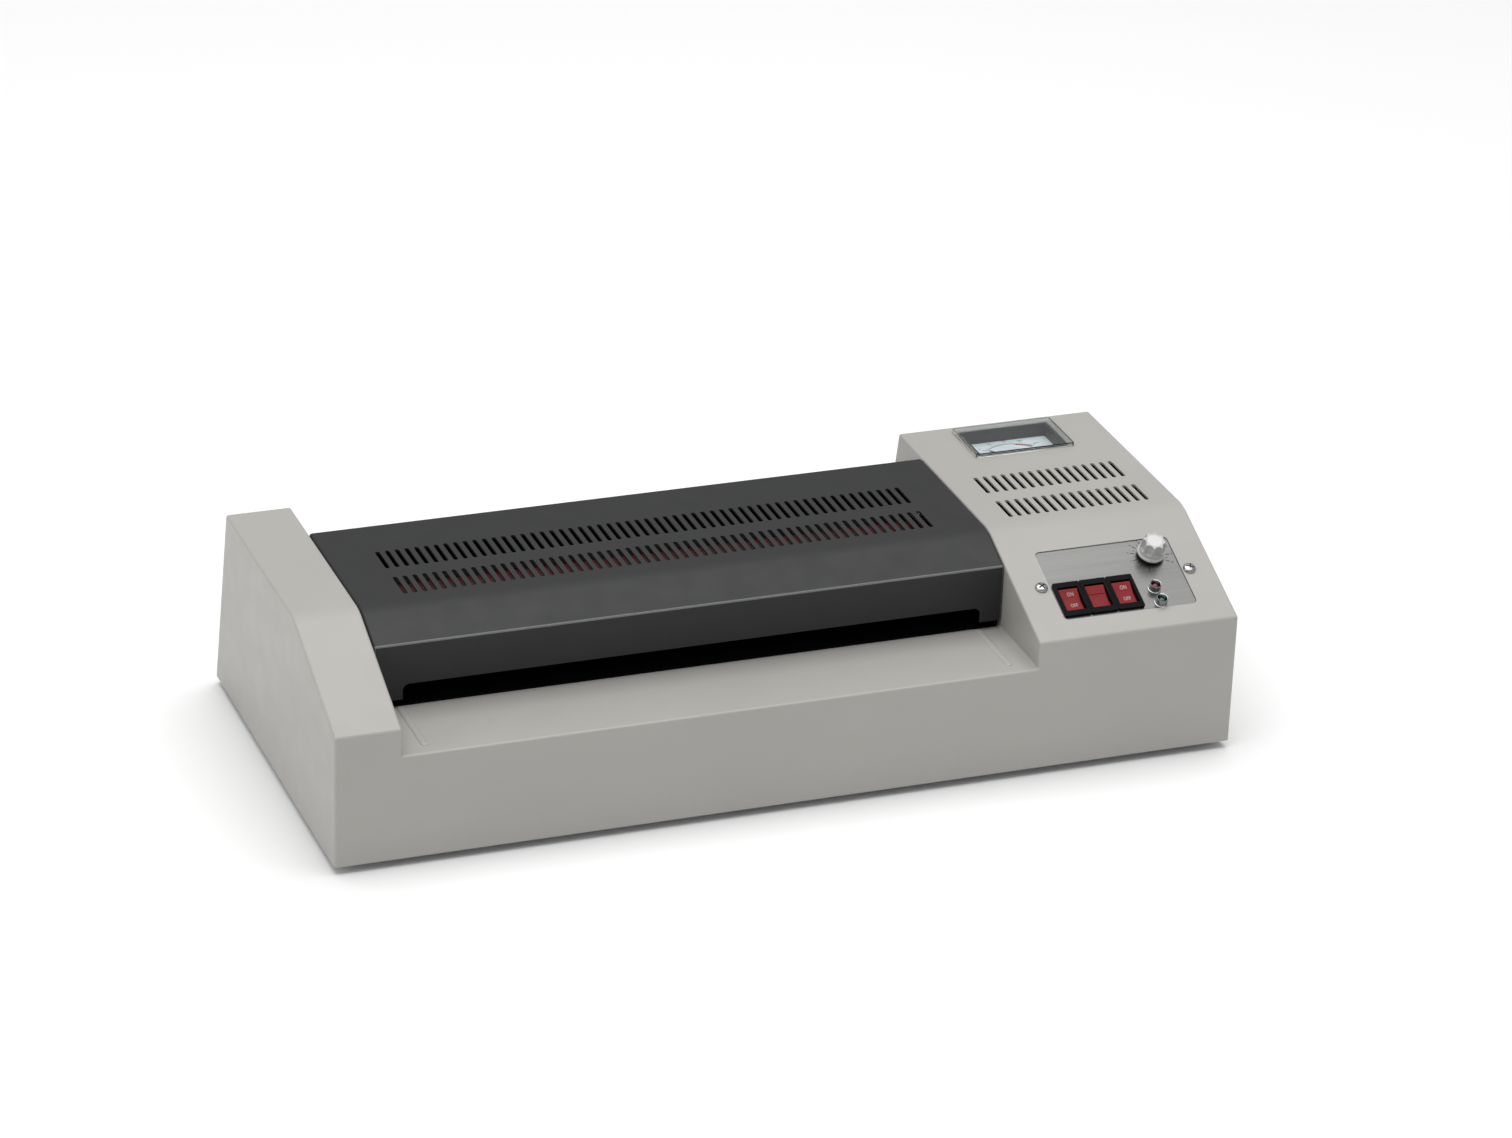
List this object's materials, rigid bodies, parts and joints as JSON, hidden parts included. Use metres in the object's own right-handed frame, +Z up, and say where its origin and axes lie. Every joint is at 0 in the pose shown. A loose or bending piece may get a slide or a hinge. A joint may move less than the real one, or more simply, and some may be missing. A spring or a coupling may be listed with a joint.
{
  "type": "pouch laminator",
  "caption": "Desktop pouch laminator with driven heated rollers behind a slotted cover, a feed tray and a sloping control panel.",
  "frame": {"origin": "on the ground under the middle of the housing", "axes": "+X to the right along the feed slot, +Y to the rear in the feed direction, +Z up"},
  "size_m": [0.525, 0.24, 0.1191],
  "materials": {
    "housing_paint": "satin powder coat",
    "cover_paint": "satin powder coat",
    "base_zinc": "zinc plated",
    "foot_rubber": "matte",
    "zinc_screws": "zinc plated",
    "panel_aluminium": "brushed",
    "chrome_trim": "polished",
    "black_plastic": "satin",
    "red_plastic": "gloss",
    "red_lamp": "gloss",
    "green_lamp": "gloss",
    "knob_plastic": "satin",
    "component_metal": "plain",
    "dial_card": "matte",
    "clear_lens": "clear",
    "needle_black": "matte",
    "shoe_aluminium": "extruded",
    "heater_sheath": "ceramic filled tube",
    "thermostat_ceramic": "matte",
    "bronze": "sintered",
    "bearing_plastic": "matte",
    "ground_steel": "ground",
    "roller_aluminium": "turned",
    "red_silicone": "matte silicone",
    "black_silicone": "matte silicone",
    "gear_plastic": "moulded",
    "motor_paint": "satin",
    "circuit_board": "solder mask",
    "capacitor_can": "plain"
  },
  "bodies": {
    "chassis": {"main_housing": "housing_paint", "centre_cover": "cover_paint", "base_plate": "base_zinc", "rubber_feet": "foot_rubber", "base_screws": "zinc_screws", "cover_screws": "zinc_screws", "control_panel": "panel_aluminium", "panel_screws": "chrome_trim", "switch_housings": "black_plastic", "indicator_bezels": "chrome_trim", "red_lens": "red_lamp", "green_lens": "green_lamp", "potentiometer": "component_metal", "meter_case": "black_plastic", "meter_dial": "dial_card", "meter_lens": "clear_lens", "left_side_frame": "component_metal", "right_side_frame": "component_metal", "tie_rods": "component_metal", "tie_rod_screws": "zinc_screws", "entry_guide": "black_plastic", "exit_guide": "black_plastic", "upper_heater_shoe": "shoe_aluminium", "lower_heater_shoe": "shoe_aluminium", "heater_tubes": "heater_sheath", "heat_shield": "base_zinc", "thermostat": "thermostat_ceramic", "lower_bearings": "bronze", "front_springs": "component_metal", "rear_springs": "component_metal", "idler_stud": "component_metal", "motor": "motor_paint", "motor_bracket": "component_metal", "control_board": "circuit_board", "motor_capacitor": "capacitor_can", "power_inlet": "black_plastic", "inlet_screws": "zinc_screws", "fuse_holder": "black_plastic"},
    "front_nip": {"front_bearing_blocks": "bearing_plastic"},
    "rear_nip": {"rear_bearing_blocks": "bearing_plastic"},
    "upper_front_roller": {"upper_front_shaft": "roller_aluminium", "upper_front_sleeve": "red_silicone", "upper_front_gear": "gear_plastic"},
    "lower_front_roller": {"lower_front_shaft": "roller_aluminium", "lower_front_sleeve": "red_silicone", "lower_front_gear": "gear_plastic"},
    "upper_rear_roller": {"upper_rear_shaft": "roller_aluminium", "upper_rear_sleeve": "black_silicone", "upper_rear_gear": "gear_plastic"},
    "lower_rear_roller": {"lower_rear_shaft": "roller_aluminium", "lower_rear_sleeve": "black_silicone", "lower_rear_gear": "gear_plastic"},
    "idler": {"idler_gear": "gear_plastic"},
    "pinion": {"motor_pinion": "ground_steel"},
    "left_switch": {"left_rocker": "red_plastic"},
    "middle_switch": {"middle_rocker": "red_plastic"},
    "right_switch": {"right_rocker": "red_plastic"},
    "knob": {"temperature_knob": "knob_plastic", "potentiometer_shaft": "component_metal"},
    "needle": {"meter_needle": "needle_black"}
  },
  "joints": [
    {"name": "front_nip_lift", "type": "slide", "parent": "chassis", "child": "front_nip", "axis": [0, 0, 1], "range_m": [0, 0.001], "stiffness_N_per_m": 8000, "springref_m": -0.002, "deforming": ["front_springs"]},
    {"name": "rear_nip_lift", "type": "slide", "parent": "chassis", "child": "rear_nip", "axis": [0, 0, 1], "range_m": [0, 0.001], "stiffness_N_per_m": 8000, "springref_m": -0.002, "deforming": ["rear_springs"]},
    {"name": "lower_front_spin", "type": "hinge", "parent": "chassis", "child": "lower_front_roller", "pos_m": [-0.04, 0.009, 0.0565], "axis": [-1, 0, 0], "continuous": true},
    {"name": "upper_front_spin", "type": "hinge", "parent": "front_nip", "child": "upper_front_roller", "pos_m": [-0.04, 0.009, 0.0865], "axis": [-1, 0, 0], "continuous": true},
    {"name": "lower_rear_spin", "type": "hinge", "parent": "chassis", "child": "lower_rear_roller", "pos_m": [-0.04, 0.044, 0.0565], "axis": [-1, 0, 0], "continuous": true},
    {"name": "upper_rear_spin", "type": "hinge", "parent": "rear_nip", "child": "upper_rear_roller", "pos_m": [-0.04, 0.044, 0.0865], "axis": [-1, 0, 0], "continuous": true},
    {"name": "idler_spin", "type": "hinge", "parent": "chassis", "child": "idler", "pos_m": [0.1585, 0.0265, 0.03865], "axis": [-1, 0, 0], "continuous": true},
    {"name": "pinion_spin", "type": "hinge", "parent": "chassis", "child": "pinion", "pos_m": [0.1585, -0.00691, 0.04059], "axis": [-1, 0, 0], "continuous": true},
    {"name": "left_rocker_tilt", "type": "hinge", "parent": "chassis", "child": "left_switch", "pos_m": [0.1714, -0.09265, 0.09047], "axis": [-1, 0, 0], "range_deg": [0, 14]},
    {"name": "middle_rocker_tilt", "type": "hinge", "parent": "chassis", "child": "middle_switch", "pos_m": [0.1875, -0.09265, 0.09047], "axis": [-1, 0, 0], "range_deg": [0, 14]},
    {"name": "right_rocker_tilt", "type": "hinge", "parent": "chassis", "child": "right_switch", "pos_m": [0.2036, -0.09265, 0.09047], "axis": [-1, 0, 0], "range_deg": [0, 14]},
    {"name": "temperature_turn", "type": "hinge", "parent": "chassis", "child": "knob", "pos_m": [0.2287, -0.07312, 0.10773], "axis": [0, 0.3891, -0.9212], "range_deg": [0, 280]},
    {"name": "needle_swing", "type": "hinge", "parent": "chassis", "child": "needle", "pos_m": [0.20325, 0.059, 0.1089], "axis": [0, 0, -1], "range_deg": [0, 90]}
  ],
  "couplings": [
    {"joint": "upper_front_spin", "follows": "lower_front_spin", "ratio": -1},
    {"joint": "lower_rear_spin", "follows": "lower_front_spin", "ratio": 1},
    {"joint": "upper_rear_spin", "follows": "lower_front_spin", "ratio": -1},
    {"joint": "idler_spin", "follows": "lower_front_spin", "ratio": -1.5},
    {"joint": "pinion_spin", "follows": "lower_front_spin", "ratio": -2}
  ]
}
